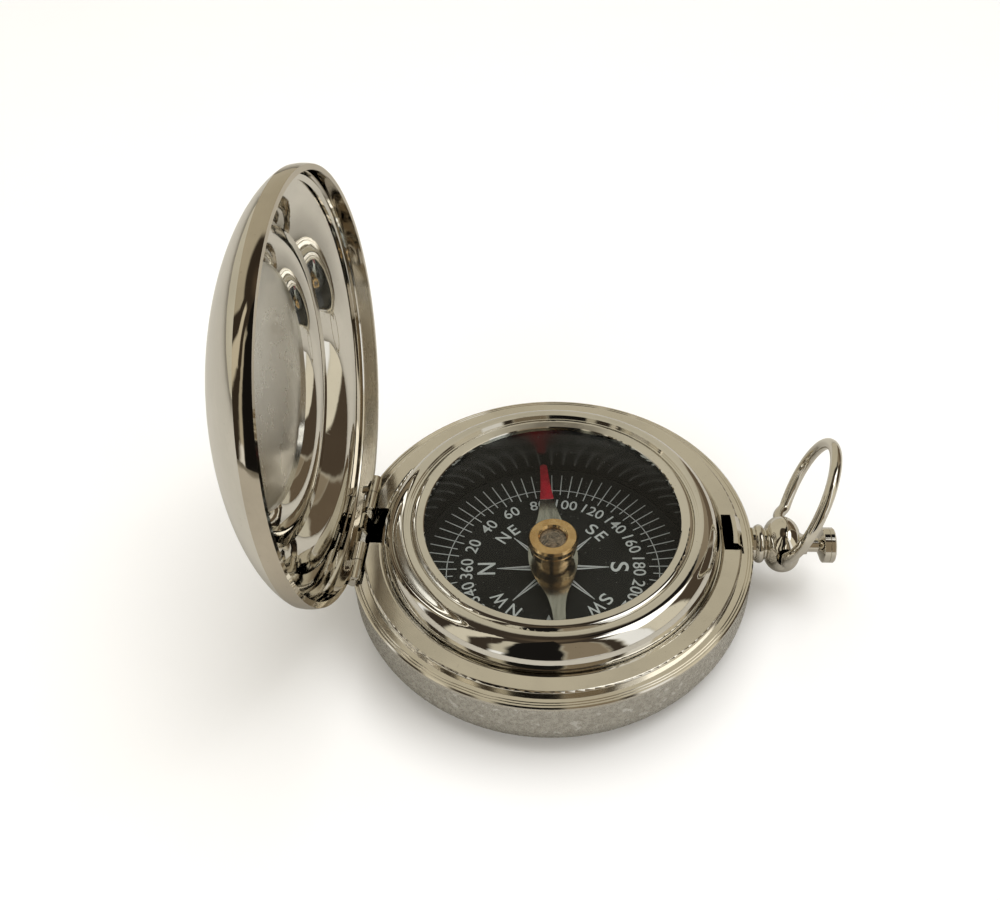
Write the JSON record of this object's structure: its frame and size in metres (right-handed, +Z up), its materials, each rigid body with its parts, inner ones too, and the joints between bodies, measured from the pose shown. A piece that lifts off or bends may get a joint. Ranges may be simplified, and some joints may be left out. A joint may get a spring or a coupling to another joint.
{
  "type": "push-button pocket compass",
  "caption": "Nickel-plated pocket compass: round case with black dial, swinging needle under glass, sprung domed lid, push-button catch and bow ring.",
  "frame": {"origin": "centre of the flat resting face under the case", "axes": "+Z up along the needle's pivot, +X towards the push button, hinge of the lid along Y on the -X side"},
  "size_m": [0.0709, 0.05, 0.0569],
  "materials": {
    "case_nickel": "polished nickel plate, satin side wall",
    "plate_nickel": "polished nickel plate",
    "bezel_nickel": "mirror nickel plate",
    "lid_nickel": "mirror nickel plate",
    "lid_band_nickel": "warm polished nickel plate",
    "lid_liner_nickel": "mirror nickel plate",
    "lid_plate_satin": "satin nickel plate",
    "fitting_nickel": "polished nickel plate",
    "spring_steel": "plated spring steel",
    "crystal_glass": "clear flat glass",
    "gasket_rubber": "matte black",
    "bowl_nickel": "polished nickel plate",
    "dial_black": "matte black enamel with white print",
    "needle_steel": "polished steel with a red tip",
    "cap_brass": "lacquered brass",
    "jewel": "dark jewel",
    "pivot_steel": "polished steel",
    "screw_steel": "plated steel"
  },
  "bodies": {
    "case": {"case_body": "case_nickel", "top_plate": "plate_nickel", "bezel_housing": "bezel_nickel", "bezel_ring": "bezel_nickel", "crystal": "crystal_glass", "crystal_gasket": "gasket_rubber", "compass_bowl": "bowl_nickel", "dial": "dial_black", "pivot_post": "cap_brass", "pivot_pin": "pivot_steel", "case_knuckles": "fitting_nickel", "hinge_pins": "pivot_steel", "spring_screws": "screw_steel", "pendant_collar": "fitting_nickel", "pendant_bead": "fitting_nickel", "button_spring": "spring_steel"},
    "lid": {"lid_shell": "lid_nickel", "lid_band": "lid_band_nickel", "lid_liner": "lid_liner_nickel", "lid_plate": "lid_plate_satin", "lid_knuckles": "fitting_nickel"},
    "needle": {"needle": "needle_steel", "needle_cap": "cap_brass", "cap_jewel": "jewel"},
    "button": {"push_button": "fitting_nickel"},
    "catch": {"catch_hook": "fitting_nickel", "catch_spring": "spring_steel"},
    "lid_spring": {"lift_spring": "spring_steel"},
    "bow": {"bow_ring": "fitting_nickel"}
  },
  "joints": [
    {"name": "lid_hinge", "type": "hinge", "parent": "case", "child": "lid", "pos_m": [-0.0236, 0, 0.00905], "axis": [0, 1, 0], "range_deg": [0, 93.3], "stiffness_Nm_per_rad": 0.0036, "springref_deg": -5.73},
    {"name": "needle_spin", "type": "hinge", "parent": "case", "child": "needle", "pos_m": [0, 0, 0.0068], "axis": [0, 0, 1], "continuous": true},
    {"name": "button_push", "type": "slide", "parent": "case", "child": "button", "axis": [-1, 0, 0], "range_m": [0, 0.0008], "stiffness_N_per_m": 600, "springref_m": -0.001},
    {"name": "catch_flex", "type": "hinge", "parent": "case", "child": "catch", "pos_m": [0.01559, -0.01732, 0.0057], "axis": [0, 0, 1], "range_deg": [0, 2.75]},
    {"name": "lid_spring_flex", "type": "hinge", "parent": "case", "child": "lid_spring", "pos_m": [-0.01559, 0.01732, 0.0057], "axis": [0, 0, 1], "range_deg": [0, 2]},
    {"name": "bow_swing", "type": "hinge", "parent": "case", "child": "bow", "pos_m": [0.02875, 0, 0.0087], "axis": [0, 1, 0], "range_deg": [-55, 100]}
  ],
  "couplings": [
    {"joint": "catch_flex", "follows": "button_push", "rad_per_m": 58.5},
    {"joint": "lid_spring_flex", "follows": "lid_hinge", "ratio": 0.02064}
  ]
}
